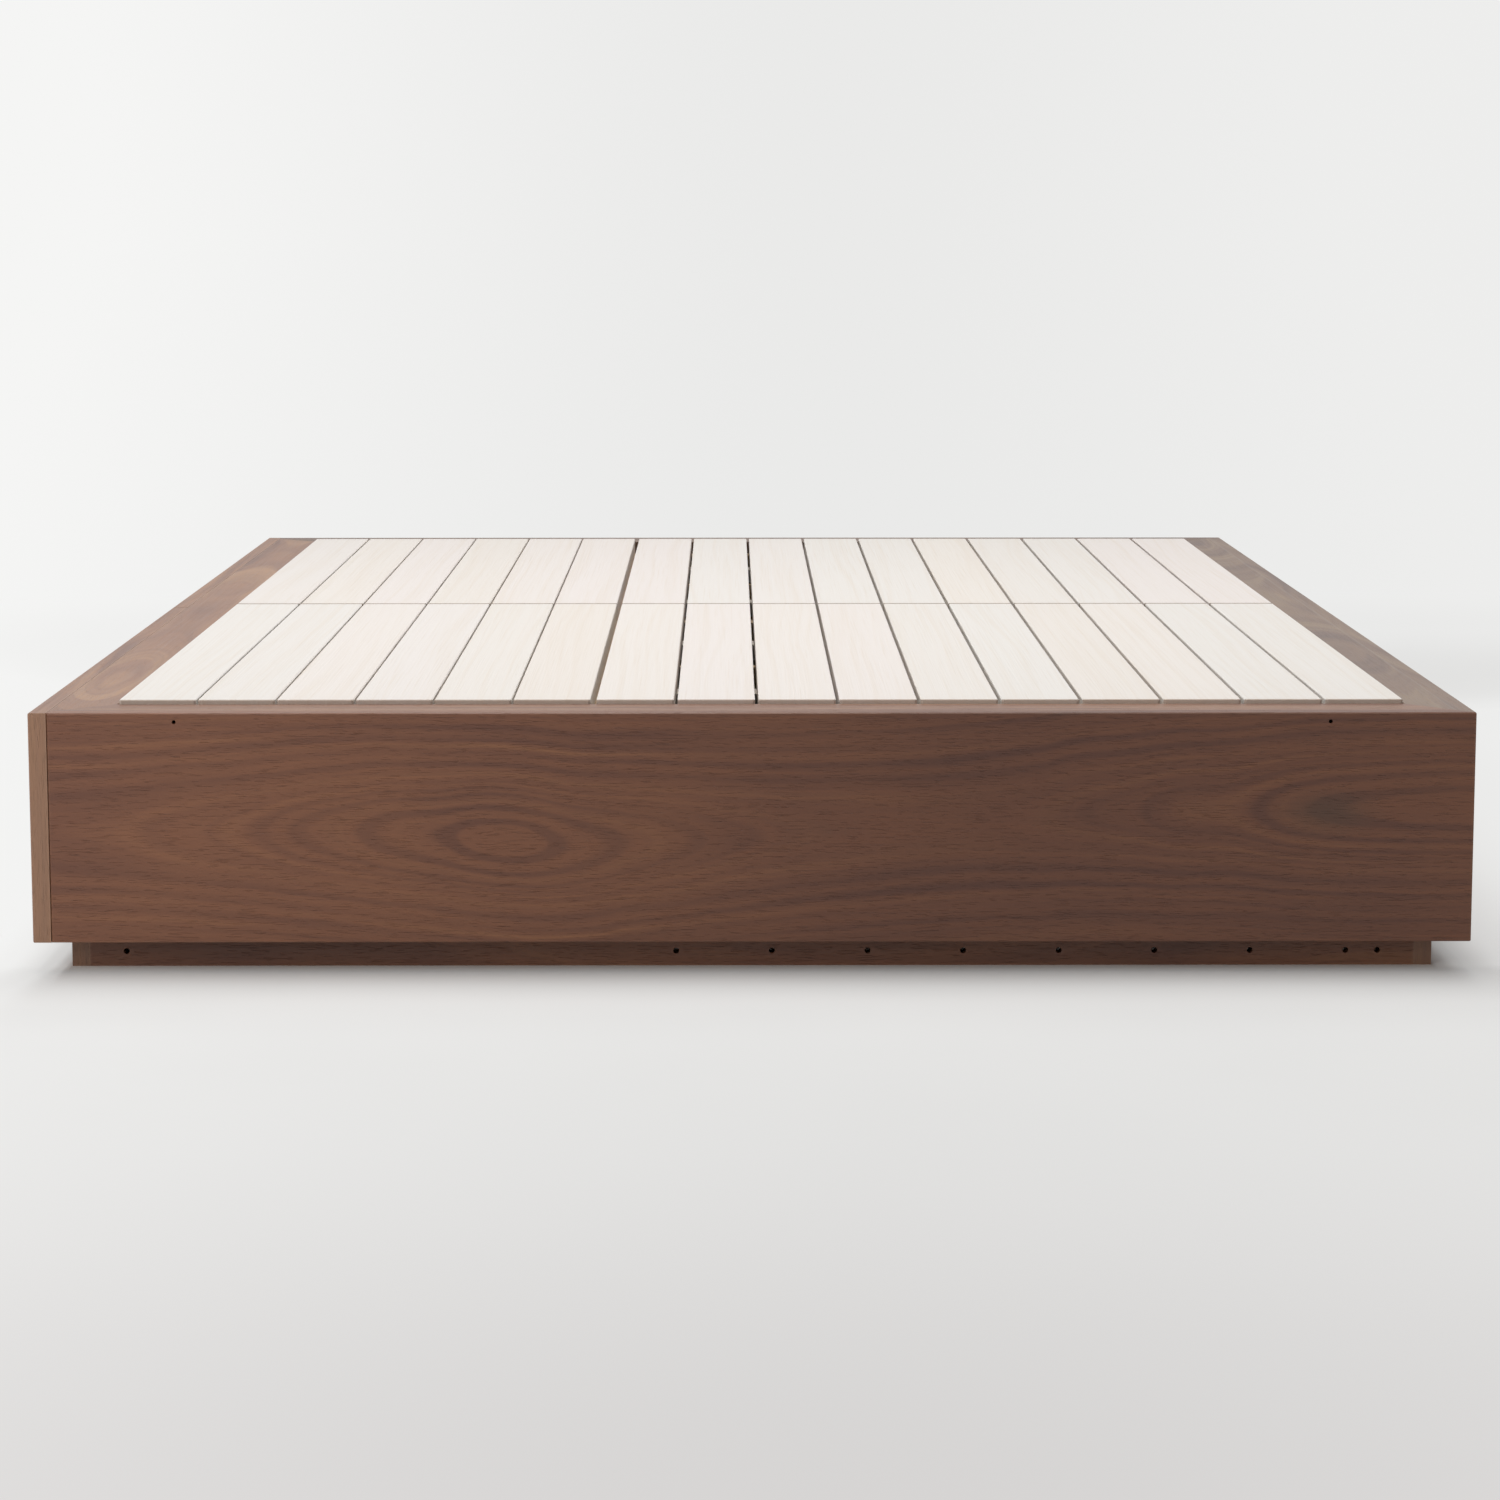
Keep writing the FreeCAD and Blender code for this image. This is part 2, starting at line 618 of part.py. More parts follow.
def drawer_side(side, name, face, outward):
    """Side board with a runner groove outside and a groove for the bottom inside."""
    inner = f"({face} - {outward} * drawer_board)"
    runner_groove = f"{face} - {outward} * (runner_reach + runner_clearance)"
    bottom_groove = f"{inner} + {outward} * groove_depth"
    low, high = f"{RUNNER_BOTTOM} - runner_clearance", f"{RUNNER_TOP} + runner_clearance"
    corners = (
        (face, DRAWER_BOTTOM),
        (face, low),
        (runner_groove, low),
        (runner_groove, high),
        (face, high),
        (face, DRAWER_TOP),
        (inner, DRAWER_TOP),
        (inner, GROOVE_TOP),
        (bottom_groove, GROOVE_TOP),
        (bottom_groove, GROOVE_BOTTOM),
        (inner, GROOVE_BOTTOM),
        (inner, DRAWER_BOTTOM),
    )
    label = f"{END_NAMES[side]}_drawer_{name}"
    board(label, "YZ_Plane", corners, INNER_FRONT_BACK, f"{DRAWER_REAR} - {INNER_FRONT_BACK}")


def drawer_back(side):
    low, high = ordered(side, f"({DRAWER_INNER} + drawer_board)", f"({DRAWER_OUTER} - drawer_board)")
    foot = f"{GROOVE_BOTTOM} + groove_clearance + drawer_bottom_thickness"
    corners = rectangle(low, foot, high, DRAWER_TOP)
    label = f"{END_NAMES[side]}_drawer_back"
    board(label, "YZ_Plane", corners, f"{DRAWER_REAR} - drawer_board", "drawer_board")


def drawer_bottom(side):
    inset = "drawer_board - groove_depth + groove_clearance"
    low, high = ordered(side, f"({DRAWER_INNER} + {inset})", f"({DRAWER_OUTER} - ({inset}))")
    front = f"{INNER_FRONT_BACK} - groove_depth + groove_clearance"
    corners = rectangle(front, low, DRAWER_REAR, high)
    height = f"{GROOVE_BOTTOM} + groove_clearance"
    label = f"{END_NAMES[side]}_drawer_bottom"
    board(label, "XY_Plane", corners, height, "drawer_bottom_thickness")


def front_screws(side):
    """Pan-head screws from inside the drawer box into the drawer front."""
    body = new_piece(f"{END_NAMES[side]}_drawer_screws")
    low, _ = ordered(side, SCREW_NEAR, SCREW_FAR)
    tip = f"{FRONT_BACK} - screw_bite + screw_clearance"
    heads = f"({INNER_FRONT_BACK} + screw_head_height)"
    for start, length, diameter in (
        (INNER_FRONT_BACK, "screw_head_height", "screw_head_diameter"),
        (tip, f"{heads} - ({tip})", "screw_diameter"),
    ):
        sketch = new_sketch(body, "YZ_Plane", start)
        draw_circle(sketch, low, SCREW_LOW, diameter)
        pad = body.newObject("PartDesign::Pad", body.Label + "_round")
        pad.Profile = sketch
        bind(pad, "Length", length)
        doc.recompute()
    repeat(body, "Y_Axis", f"{SCREW_FAR} - {SCREW_NEAR}", "2")
    repeat(body, "Z_Axis", f"{SCREW_HIGH} - {SCREW_LOW}", "2")


def runner(side, name, wall, inward):
    """Hardwood strip on the board beside a drawer, reaching into the drawer side's groove."""
    reach = f"{wall} + {inward} * (drawer_side_gap + runner_reach)"
    corners = rectangle(wall, RUNNER_BOTTOM, reach, RUNNER_TOP)
    board(f"{END_NAMES[side]}_{name}_runner", "YZ_Plane", corners, RUNNER_FRONT, RUNNER_LENGTH)


def drawer(side):
    drawer_front(side)
    inner_front(side)
    drawer_side(side, "outer_side", f"({side} * {DRAWER_OUTER})", side)
    drawer_side(side, "inner_side", f"({side} * {DRAWER_INNER})", -side)
    drawer_back(side)
    drawer_bottom(side)
    front_screws(side)
    runner(side, "outer", f"{side} * {PANEL_INNER_Y}", -side)
    runner(side, "inner", f"{side} * partition_thickness / 2", side)


def build_bed():
    head_panel = end_panel(HEAD)
    end_panel(FOOT)
    side_panel()
    head_rail = end_rail(HEAD)
    end_rail(FOOT)
    side_rail("left_top_rail", CARCASS_LEFT, OPENING_LEFT)
    side_rail("right_top_rail", PANEL_INNER_X, OPENING_RIGHT)
    headboard_holes(head_panel, head_rail)
    base_rails()
    plinth()
    centre_divider()
    cross_board("drawer_partition", CARCASS_LEFT, BASE_INNER_LEFT, DIVIDER_LEFT)
    cross_board("middle_bearer", PANEL_INNER_X, BASE_INNER_X, DIVIDER_RIGHT)
    left_edge = f"({OPENING_LEFT} + side_clearance)"
    right_edge = f"({OPENING_RIGHT} - side_clearance)"
    left_end = f"({DIVIDER_MIDDLE} - unit_gap / 2)"
    right_start = f"({DIVIDER_MIDDLE} + unit_gap / 2)"
    for side in (HEAD, FOOT):
        quarter_bearers(side)
        ledger(side)
        corner_post(side)
        slat_unit(side, "left", left_edge, left_end, "left_slat_count", "left_slat_gap")
        slat_unit(side, "right", right_start, right_edge, "right_slat_count", "right_slat_gap")
        drawer(side)
    bearer_brackets()


def check_and_write():
    doc.recompute()
    faults = [item.Name for item in doc.Objects if {"Invalid", "Error"} & set(item.State)]
    faults += [piece.Label for piece in pieces if piece.Shape.isNull() or not piece.Shape.isValid()]
    if faults:
        raise RuntimeError("failed: " + ", ".join(faults))
    os.makedirs("parts", exist_ok=True)
    for piece in pieces:
        piece.Shape.exportStep(f"parts/{piece.Label}.step")
        print(f"{piece.Label}: {len(piece.Shape.Solids)} solids, {piece.Shape.Volume / 1000:.1f} cm3")


write_sizes()
build_bed()
check_and_write()
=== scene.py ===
import json
import math
from typing import NamedTuple

import bmesh
import bpy
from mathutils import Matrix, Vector


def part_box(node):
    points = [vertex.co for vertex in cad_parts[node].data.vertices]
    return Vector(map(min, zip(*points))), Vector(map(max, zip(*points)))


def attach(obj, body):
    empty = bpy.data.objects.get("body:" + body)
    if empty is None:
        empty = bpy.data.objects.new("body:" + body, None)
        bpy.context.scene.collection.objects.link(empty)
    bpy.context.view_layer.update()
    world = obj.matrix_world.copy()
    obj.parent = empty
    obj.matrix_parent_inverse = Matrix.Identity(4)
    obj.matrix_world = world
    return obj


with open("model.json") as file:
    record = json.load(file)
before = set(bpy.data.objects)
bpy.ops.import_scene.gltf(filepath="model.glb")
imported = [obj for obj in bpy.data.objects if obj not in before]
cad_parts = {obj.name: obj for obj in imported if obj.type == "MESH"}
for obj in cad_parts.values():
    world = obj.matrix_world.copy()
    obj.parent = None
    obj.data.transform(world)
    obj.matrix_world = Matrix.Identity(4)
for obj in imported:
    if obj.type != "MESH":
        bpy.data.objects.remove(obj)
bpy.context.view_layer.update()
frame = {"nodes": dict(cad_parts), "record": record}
nodes = frame["nodes"]

# Node graph helpers


class Graph:
    """Short calls for the nodes of one material or world."""

    def __init__(self, holder):
        holder.use_nodes = True
        self.tree = holder.node_tree
        self.tree.nodes.clear()

    def feed(self, socket, value):
        """Link another node's output to a socket, or set the socket's own value."""
        if isinstance(value, bpy.types.NodeSocket):
            self.tree.links.new(value, socket)
        else:
            socket.default_value = value

    def node(self, kind, inputs=(), **settings):
        made = self.tree.nodes.new("ShaderNode" + kind)
        for name, value in settings.items():
            setattr(made, name, value)
        for key, value in dict(inputs).items():
            self.feed(made.inputs[key], value)
        return made

    def math(self, operation, *values):
        return self.node("Math", enumerate(values), operation=operation).outputs[0]

    def add(self, a, b):
        return self.math("ADD", a, b)

    def multiply(self, a, b):
        return self.math("MULTIPLY", a, b)

    def larger(self, a, b):
        return self.math("MAXIMUM", a, b)

    def absolute(self, value):
        return self.math("ABSOLUTE", value)

    def scaled(self, value, factor, offset=0.0):
        return self.math("MULTIPLY_ADD", value, factor, offset)

    def centred(self, noise, reach):
        """Noise from 0 to 1 as a number from -reach / 2 to reach / 2."""
        return self.scaled(noise, reach, -reach / 2)

    def distance(self, a, b):
        """Length of a step of a one way and b square to it."""
        return self.math("SQRT", self.add(self.multiply(a, a), self.multiply(b, b)))

    def span(self, value, low, high, to_low=0.0, to_high=1.0):
        """Smooth step from to_low, where the value is low, to to_high, where it is high."""
        inputs = {
            "Value": value,
            "From Min": low,
            "From Max": high,
            "To Min": to_low,
            "To Max": to_high,
        }
        return self.node("MapRange", inputs, interpolation_type="SMOOTHSTEP").outputs["Result"]

    def vector(self, x, y, z):
        return self.node("CombineXYZ", enumerate((x, y, z))).outputs[0]

    def parts(self, vector):
        return self.node("SeparateXYZ", {0: vector}).outputs[:3]

    def noise(self, vector, scale=1.0, detail=2.0, roughness=0.5):
        inputs = {"Vector": vector, "Scale": scale, "Detail": detail, "Roughness": roughness}
        return self.node("TexNoise", inputs).outputs["Fac"]

    def mix_values(self, kind, values, **settings):
        """Mix node for one kind of value; values are the factor, A and B."""
        made = self.node("Mix", **settings)
        inputs = {socket.identifier: socket for socket in made.inputs}
        for key, value in zip(("Factor_Float", "A_" + kind, "B_" + kind), values):
            self.feed(inputs[key], value)
        return next(s for s in made.outputs if s.identifier == "Result_" + kind)

    def mix(self, factor, a, b, blend="MIX"):
        return self.mix_values("Color", (factor, a, b), data_type="RGBA", blend_type=blend)

    def tinted(self, colour, tint, factor=1.0):
        return self.mix(factor, colour, tint, "MULTIPLY")

    def mix_number(self, factor, a, b):
        return self.mix_values("Float", (factor, a, b), data_type="FLOAT")

    def ramp(self, factor, stops, interpolation="EASE"):
        """Colour ramp; a stop is a place from 0 to 1 and a colour or a grey."""
        made = self.node("ValToRGB", {"Fac": factor})
        made.color_ramp.interpolation = interpolation
        elements = made.color_ramp.elements
        while len(elements) < len(stops):
            elements.new(0.5)
        for element, (place, value) in zip(elements, stops):
            element.position = place
            element.color = value if isinstance(value, tuple) else (value, value, value, 1.0)
        return made.outputs["Color"]

    def show(self, shader, output="OutputMaterial"):
        self.node(output, {"Surface": shader.outputs[0]})

    def surface(self, colour, roughness, height, relief, metallic=0.0):
        """Shiny or matt surface, with bumps up to relief metres high."""
        bumps = self.node("Bump", {"Height": height, "Distance": relief})
        inputs = {
            "Base Color": colour,
            "Roughness": roughness,
            "Metallic": metallic,
            "Normal": bumps.outputs[0],
        }
        self.show(self.node("BsdfPrincipled", inputs))


def srgb(red, green, blue):
    """Screen values from 0 to 255 as a linear colour."""
    def linear(value):
        value /= 255
        return value / 12.92 if value <= 0.04045 else ((value + 0.055) / 1.055) ** 2.4
    return (linear(red), linear(green), linear(blue), 1.0)


def give(node, material):
    mesh = nodes[node].data
    mesh.materials.clear()
    mesh.materials.append(material)


# Wood
#
# Waves are counted per metre. A SHADE or WEAR says how much of a colour is mixed in over a value:
# the value's low and high end, and the share of the colour at each. A ROUGHNESS is how much the
# pattern changes it, and its least value. A RELIEF is the height of the surface's bumps in metres.


class Layer(NamedTuple):
    """Noise drawn out along the grain, with its waves along and across it, and moved by shift."""

    along: float
    across: float
    detail: float = 2.0
    shift: float = 0.0


class Rings(NamedTuple):
    """Growth rings, with the waves across them and along the grain."""

    waves: float
    along: float
    detail: float = 3.0
    roughness: float = 0.5


class Figure(NamedTuple):
    """Rings placed from given stops along the board from 0 to 1 or over the ring radius.

    heart is how deep the middle of the tree lies under the face, squared, in 0.01 square metres:
    the rings close to ovals where it reaches 0. shift is the height of the middle line on the face,
    as a share of its width. rings are tones from dark 0.3 to light 0.68, from the middle of the
    tree out to reach metres.
    """

    heart: tuple
    shift: tuple
    rings: tuple
    reach: float


class Patch(NamedTuple):
    """Dark place on a board: its centre along and across the grain, and its reach, in metres."""

    u: float
    v: float
    reach: float


AXES = {"x": 0, "y": 1, "z": 2}
U, V, W = range(3)
# How far one seed moves the noise along u, v and w.
FIBRE_SEED_STEPS = (3.7, 1.3, 2.1)
END_FACING = 0.9


class Board(Graph):
    """Wood on one board: u runs along the grain, v across the face and w through the board.

    axes names their directions in this order, such as "xzy". seed sets one board's grain apart
    from another's.
    """

    def __init__(self, kind, cad_node, axes, seed):
        self.material = bpy.data.materials.new(f"{kind}_{cad_node}")
        super().__init__(self.material)
        self.cad_node = cad_node
        self.low, self.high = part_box(cad_node)
        self.axes = [AXES[axis] for axis in axes]
        self.seed = seed
        coordinates = self.node("TexCoord")
        self.place = self.parts(coordinates.outputs["Object"])
        self.facing = self.parts(coordinates.outputs["Normal"])
        self.u, self.v, self.w = (self.place[axis] for axis in self.axes)

    def size(self, index):
        axis = self.axes[index]
        return self.high[axis] - self.low[axis]

    def middle(self, index):
        axis = self.axes[index]
        return (self.high[axis] + self.low[axis]) / 2

    def turn_end_faces(self):
        """Edge band on the ends: its grain runs across the board instead of out of it."""
        end = self.math("GREATER_THAN", self.absolute(self.facing[self.axes[U]]), END_FACING)
        u, v, w = self.u, self.v, self.w
        self.u = self.mix_number(end, u, v)
        self.v = self.mix_number(end, v, w)
        self.w = self.mix_number(end, w, u)
        return end

    def fibre(self, layer):
        along_step, across_step, through_step = FIBRE_SEED_STEPS
        vector = self.vector(
            self.scaled(self.u, layer.along, self.seed * along_step + layer.shift),
            self.scaled(self.v, layer.across, self.seed * across_step),
            self.scaled(self.w, layer.across, self.seed * through_step),
        )
        return self.noise(vector, detail=layer.detail)

    def rings(self, radius, style, cut):
        """Rings over a radius; cut is where the board's plane lies in the noise."""
        vector = self.vector(
            self.scaled(radius, style.waves, self.seed),
            self.scaled(self.u, style.along),
            cut,
        )
        return self.noise(vector, detail=style.detail, roughness=style.roughness)

    def edge_distance(self):
        """Distance to the nearest edge of the board's box, on its surface."""
        gaps = []
        for index, axis in enumerate(self.axes):
            off = self.absolute(self.scaled(self.place[axis], 1.0, -self.middle(index)))
            gaps.append(self.scaled(off, -1.0, self.size(index) / 2))
        a, b, c = gaps
        smaller = self.math("MINIMUM", a, b)
        return self.larger(smaller, self.math("MINIMUM", self.larger(a, b), c))

    def coat(self, colour, roughness, height, relief):
        """Finish the material and put it on the board."""
        self.surface(colour, roughness, height, relief)
        give(self.cad_node, self.material)


# Walnut veneer

WALNUT_DARK = srgb(113, 72, 55)
WALNUT_MID = srgb(146, 97, 70)
WALNUT_LIGHT = srgb(170, 119, 83)
WALNUT_STREAK = srgb(118, 76, 60)
WALNUT_CLOUD = srgb(160, 108, 74)
WALNUT_PORE = srgb(78, 52, 43)
WALNUT_BAND = srgb(182, 147, 120)
WALNUT_PATCH = srgb(92, 78, 60)
WALNUT_WORN = srgb(186, 148, 122)
WALNUT_TONES = ((0.3, WALNUT_DARK), (0.5, WALNUT_MID), (0.68, WALNUT_LIGHT))

WALNUT_SWAY = Layer(3.5, 14)
WALNUT_TREMBLE = Layer(16, 70, shift=5.0)
WALNUT_STREAKS = Layer(7, 420, detail=3.0, shift=9.0)
WALNUT_PORES = Layer(55, 1500, detail=1.0, shift=2.0)
WALNUT_RINGS = Rings(78, 1.3, roughness=0.6)
WALNUT_FINE_RINGS = Rings(330, 4.0, detail=2.0)
RING_CONTRAST = 1.3

# The crown figure's wandering middle line: depth under the face, squared, and place on the face.
CROWN_SEED_STEP = 2.7
CROWN_DEPTH_WAVES, CROWN_DEPTH_DETAIL = 0.8, 1.0
CROWN_DEPTH_NOISE = (0.3, 0.75)
CROWN_DEPTH, CROWN_LEAST_DEPTH = 0.010, 0.0003
CROWN_LINE_WAVES, CROWN_LINE_DETAIL = 0.7, 0.0
CROWN_LINE_SHARE = 0.9
# The straight figure is cut this many board widths from the middle of the tree.
STRAIGHT_WIDTHS = 3
HEART_UNIT = 0.01
# The rings lean this much per metre through the board, and sway and tremble by so many metres.
RING_LEAN = 0.8
SWAY_REACH, PLACED_SWAY_REACH = 0.012, 0.008
TREMBLE_REACH = 0.004
# Rings placed from given stops: their share up to PLACED_CORE of the figure's reach, and at its
# reach.
PLACED_CORE = 0.4
PLACED_SHARES = (0.9, 0.55)
# The fine rings fade in between these two radii; nearer the middle of the tree there is one tone.
FINE_CALM = (0.012, 0.04)
FINE_CALM_TONE = 0.6

FINE_SHADE = (0.3, 0.7, 0.42, 0.0)
STREAK_SHADE = (0.3, 0.75, 0.30, 0.0)
CLOUD_SHADE = (0.35, 0.7, 0.0, 0.30)
CLOUD_WAVES, CLOUD_SEED_STEP = 4.5, 5.3
PORE_NOISE = (0.62, 0.72)
PORE_SHARE = 0.11
BAND_SHARE = 0.45
PATCH_FLATNESS = 2.2
PATCH_SHADE = (0.0, 1.0, 0.42, 0.0)
WALNUT_WEAR = (0.0004, 0.0024, 0.16, 0.0)
WEAR_SWAY = 0.002
# How far a face turns up before it takes the painted top light and sheen.
TOP_SHEEN_FACING = (0.3, 0.9)
WALNUT_ROUGHNESS = (0.16, 0.36)
WALNUT_RELIEF = 0.00035
STREAK_HEIGHT, PORE_HEIGHT = 0.5, -0.7


def tree_middle(wood, figure, along):
    """The middle of the tree: its depth under the face, squared, and its line on the face."""
    width, middle = wood.size(V), wood.middle(V)
    if figure == "straight":
        return 0.0, middle - STRAIGHT_WIDTHS * width
    if figure == "crown":
        lengthwise = wood.vector(wood.u, wood.seed * CROWN_SEED_STEP, wood.seed)
        depth = wood.noise(lengthwise, CROWN_DEPTH_WAVES, CROWN_DEPTH_DETAIL)
        depth = wood.span(depth, *CROWN_DEPTH_NOISE)
        line = wood.noise(lengthwise, CROWN_LINE_WAVES, CROWN_LINE_DETAIL)
        line = wood.add(wood.centred(line, width * CROWN_LINE_SHARE), middle)
        return wood.scaled(depth, CROWN_DEPTH, CROWN_LEAST_DEPTH), line
    depth = wood.scaled(wood.ramp(along, figure.heart, "CARDINAL"), HEART_UNIT)
    line = wood.scaled(wood.ramp(along, figure.shift, "CARDINAL"), width, middle - width / 2)
    return depth, line


def ring_radius(wood, figure, along, sway):
    """Distance from the middle of the tree, with the small waves of its growth."""
    depth, line = tree_middle(wood, figure, along)
    sway_reach = PLACED_SWAY_REACH if isinstance(figure, Figure) else SWAY_REACH
    across = wood.math("SUBTRACT", wood.v, line)
    across = wood.add(across, wood.scaled(wood.w, RING_LEAN, -RING_LEAN * wood.middle(W)))
    across = wood.add(across, wood.centred(sway, sway_reach))
    across = wood.add(across, wood.centred(wood.fibre(WALNUT_TREMBLE), TREMBLE_REACH))
    squares = wood.add(wood.multiply(across, across), wood.larger(depth, 0.0))
    return wood.math("SQRT", squares)


def ring_tone(wood, figure, radius):
    """Tone of the broad rings, dark to light as in WALNUT_TONES."""
    tone = wood.rings(radius, WALNUT_RINGS, wood.seed)
    tone = wood.scaled(tone, RING_CONTRAST, 0.5 - 0.5 * RING_CONTRAST)
    if isinstance(figure, Figure):
        placed = wood.ramp(wood.scaled(radius, 1 / figure.reach), figure.rings)
        share = wood.span(radius, PLACED_CORE * figure.reach, figure.reach, *PLACED_SHARES)
        tone = wood.mix_number(share, tone, placed)
    return tone


def patch_share(wood, patch):
    """Share of the patch's colour: an oval that is PATCH_FLATNESS times as long as high."""
    along = wood.scaled(wood.u, 1 / patch.reach, -patch.u / patch.reach)
    rate = PATCH_FLATNESS / patch.reach
    across = wood.scaled(wood.v, rate, -patch.v * rate)
    return wood.span(wood.distance(along, across), *PATCH_SHADE)


def walnut(node, axes, seed, figure="crown", tone=None, top_tone=None, fade=None, patch=None):
    """Walnut veneer with a satin finish.

    figure is "crown" for arches at random places, "straight" for even lines along the board,
    or a Figure that places the rings from given stops. tone tints the whole board and top_tone what
    faces up; both carry painted light and shade: sheen and light from the left on the rails, shade
    on the plinths. fade tints the board from end to end.
    """
    wood = Board("walnut", node, axes, seed)
    end = wood.turn_end_faces()
    length = wood.size(U)
    along = wood.scaled(wood.u, 1 / length, 0.5 - wood.middle(U) / length)
    sway = wood.fibre(WALNUT_SWAY)
    radius = ring_radius(wood, figure, along, sway)
    fine = wood.rings(radius, WALNUT_FINE_RINGS, seed)
    fine = wood.mix_number(wood.span(radius, *FINE_CALM), FINE_CALM_TONE, fine)
    streak = wood.fibre(WALNUT_STREAKS)
    pores = wood.span(wood.fibre(WALNUT_PORES), *PORE_NOISE)
    cloud_u = wood.scaled(wood.u, 1.0, seed * CLOUD_SEED_STEP)
    cloud_v = wood.scaled(wood.v, 1.0, seed)
    cloud = wood.noise(wood.vector(cloud_u, cloud_v, seed), CLOUD_WAVES)

    grain = wood.ramp(ring_tone(wood, figure, radius), WALNUT_TONES)
    grain = wood.mix(wood.span(fine, *FINE_SHADE), grain, WALNUT_DARK)
    grain = wood.mix(wood.span(streak, *STREAK_SHADE), grain, WALNUT_STREAK)
    grain = wood.mix(wood.span(cloud, *CLOUD_SHADE), grain, WALNUT_CLOUD)
    grain = wood.mix(wood.scaled(pores, PORE_SHARE), grain, WALNUT_PORE)
    grain = wood.mix(wood.scaled(end, BAND_SHARE), grain, WALNUT_BAND)
    if patch:
        grain = wood.mix(patch_share(wood, patch), grain, WALNUT_PATCH)
    near_edge = wood.add(wood.edge_distance(), wood.centred(sway, WEAR_SWAY))
    grain = wood.mix(wood.span(near_edge, *WALNUT_WEAR), grain, WALNUT_WORN)
    if fade:
        grain = wood.tinted(grain, wood.ramp(along, fade, "LINEAR"))
    # Painted light and shade: tone over the whole board, top_tone over what faces up.
    if tone:
        grain = wood.tinted(grain, tone)
    if top_tone:
        grain = wood.tinted(grain, top_tone, wood.span(wood.facing[2], *TOP_SHEEN_FACING))
    height = wood.add(wood.scaled(streak, STREAK_HEIGHT), wood.scaled(pores, PORE_HEIGHT))
    wood.coat(grain, wood.scaled(streak, *WALNUT_ROUGHNESS), height, WALNUT_RELIEF)


# The head panel's figure: an oval eye left of the middle and arches that open to the right.
HEAD_FIGURE = Figure(
    heart=(
        (0.0, 0.47),
        (0.07, 0.41),
        (0.1588, 0.25),
        (0.222, 0.116),
        (0.28, 0.04),
        (0.3176, 0.0),
        (0.356, 0.04),
        (0.399, 0.116),
        (0.427, 0.16),
        (0.46, 0.22),
        (0.507, 0.29),
        (0.563, 0.34),
        (0.61, 0.37),
        (0.668, 0.355),
        (0.714, 0.29),
        (0.767, 0.221),
        (0.788, 0.175),
        (0.833, 0.15),
        (0.866, 0.078),
        (0.893, 0.04),
        (0.946, 0.012),
        (1.0, 0.0),
    ),
    shift=(
        (0.0, 0.45),
        (0.222, 0.447),
        (0.3176, 0.4126),
        (0.4, 0.405),
        (0.7, 0.512),
        (0.76, 0.542),
        (1.0, 0.555),
    ),
    rings=(
        (0.0, 0.50),
        (0.117, 0.50),
        (0.167, 0.22),
        (0.208, 0.46),
        (0.233, 0.54),
        (0.283, 0.30),
        (0.333, 0.61),
        (0.385, 0.35),
        (0.41, 0.50),
        (0.432, 0.40),
        (0.47, 0.60),
        (0.5, 0.49),
        (0.55, 0.58),
        (0.6, 0.44),
        (0.64, 0.32),
        (0.69, 0.54),
        (0.74, 0.30),
        (0.79, 0.54),
        (0.85, 0.34),
        (0.9, 0.54),
        (0.95, 0.28),
        (1.0, 0.50),
    ),
    reach=0.12,
)
HEAD_FADE = (
    (0.0, (0.86, 0.81, 0.78, 1.0)),
    (0.1, (0.84, 0.79, 0.75, 1.0)),
    (0.35, (0.73, 0.67, 0.61, 1.0)),
    (0.62, (0.53, 0.46, 0.41, 1.0)),
    (1.0, (0.58, 0.51, 0.46, 1.0)),
)
HEAD_PATCH = Patch(0.569, 0.16, 0.07)

# Painted light and shade, as tints. The rails and the up-facing tops of the panels beside them
# carry a painted grey sheen and light that falls stronger from the left: the left is lighter, the
# right and head greyer, the foot darker. The plinths are darkened with painted shade under the
# panels.
LEFT_PAINTED_SHEEN = (1.02, 1.21, 1.37, 1.0)
RIGHT_PAINTED_SHEEN = (0.70, 1.02, 1.36, 1.0)
HEAD_RAIL_PAINTED_SHEEN = (0.90, 1.05, 1.22, 1.0)
FOOT_PAINTED_SHADE = (0.50, 0.64, 0.79, 1.0)
PLINTH_PAINTED_SHADE = (0.63, 0.61, 0.60, 1.0)

walnut("head_panel", "xzy", seed=1.0, figure=HEAD_FIGURE, fade=HEAD_FADE, patch=HEAD_PATCH)
walnut("foot_panel", "xzy", seed=2.0, top_tone=FOOT_PAINTED_SHADE)
walnut("right_side_panel", "yzx", seed=3.0, top_tone=RIGHT_PAINTED_SHEEN)
walnut("head_drawer_front", "yzx", seed=4.0, top_tone=LEFT_PAINTED_SHEEN)
walnut("foot_drawer_front", "yzx", seed=4.6, top_tone=LEFT_PAINTED_SHEEN)
walnut("head_top_rail", "xyz", seed=5.0, figure="straight", tone=HEAD_RAIL_PAINTED_SHEEN)
walnut("foot_top_rail", "xyz", seed=6.0, figure="straight", tone=FOOT_PAINTED_SHADE)
walnut("left_top_rail", "yxz", seed=7.4, tone=LEFT_PAINTED_SHEEN)
walnut("right_top_rail", "yxz", seed=8.0, tone=RIGHT_PAINTED_SHEEN)
walnut("head_plinth", "xzy", seed=9.0, tone=PLINTH_PAINTED_SHADE)
walnut("foot_plinth", "xzy", seed=10.0, tone=PLINTH_PAINTED_SHADE)
walnut("left_plinth", "yzx", seed=11.0, tone=PLINTH_PAINTED_SHADE)
walnut("right_plinth", "yzx", seed=12.0, tone=PLINTH_PAINTED_SHADE)

# Pale slats

